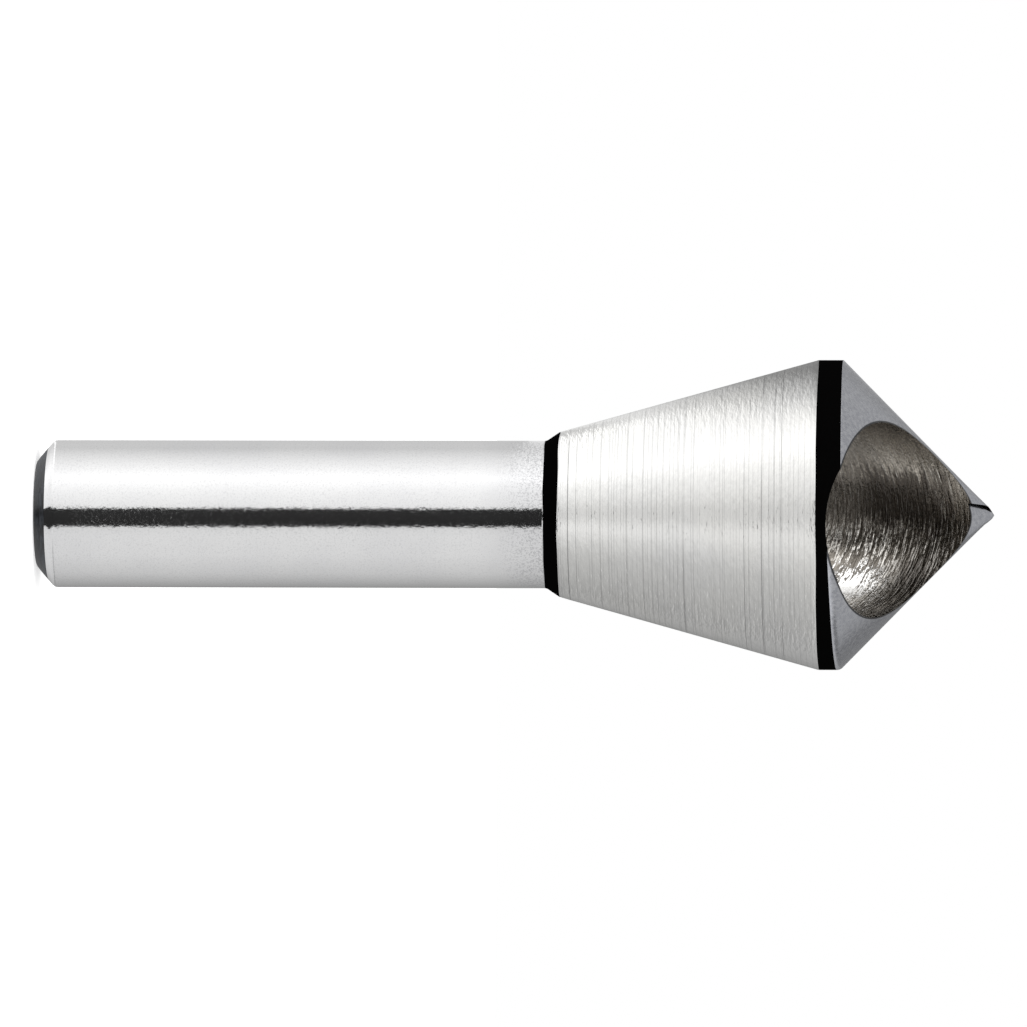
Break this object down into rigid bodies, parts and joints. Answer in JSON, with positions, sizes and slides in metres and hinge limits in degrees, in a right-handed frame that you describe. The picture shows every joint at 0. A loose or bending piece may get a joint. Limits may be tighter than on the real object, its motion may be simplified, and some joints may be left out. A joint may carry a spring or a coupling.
{
  "type": "countersink bit",
  "caption": "Cross-hole countersink bit with a plain round shank, a conical point and an oblique chip hole whose rim is the cutting lip.",
  "frame": {"origin": "centre of the flat end of the shank", "axes": "+Z along the tool's axis from the shank end to the tip; the mouth of the chip hole opens towards -Y"},
  "size_m": [0.021, 0.021, 0.065],
  "materials": {
    "steel": "ground"
  },
  "bodies": {
    "root": {"countersink_bit": "steel"}
  },
  "joints": []
}
